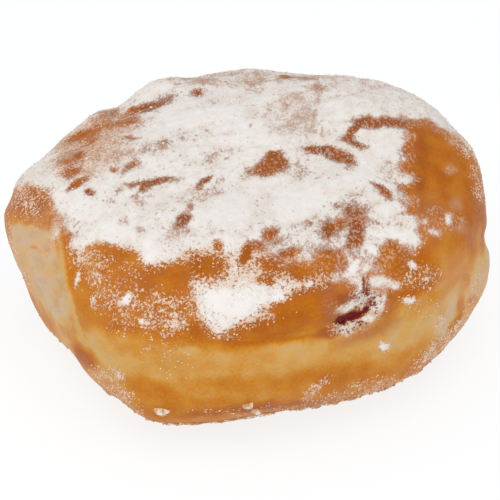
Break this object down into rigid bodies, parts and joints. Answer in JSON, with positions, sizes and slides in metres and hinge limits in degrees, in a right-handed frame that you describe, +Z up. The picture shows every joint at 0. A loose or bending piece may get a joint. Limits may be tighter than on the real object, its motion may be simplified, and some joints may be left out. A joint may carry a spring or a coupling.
{
  "type": "raspberry filled beignet",
  "caption": "Puffed square beignet of fried yeast dough: golden crust, pale band round its sides, icing sugar on top and raspberry jam showing at a hole in its front.",
  "frame": {"origin": "on the surface it stands on, under the middle of its bounding box", "axes": "+Z up, +X along the front face with the jam hole, +Y from the front to the back"},
  "size_m": [0.089, 0.0816, 0.042],
  "materials": {
    "golden_crust": "fried yeast dough, golden brown with a paler band, dusted with icing sugar",
    "raspberry_jam": "dark red glossy jam"
  },
  "bodies": {
    "root": {"dough": "golden_crust", "raspberry_jam": "raspberry_jam"}
  },
  "joints": []
}
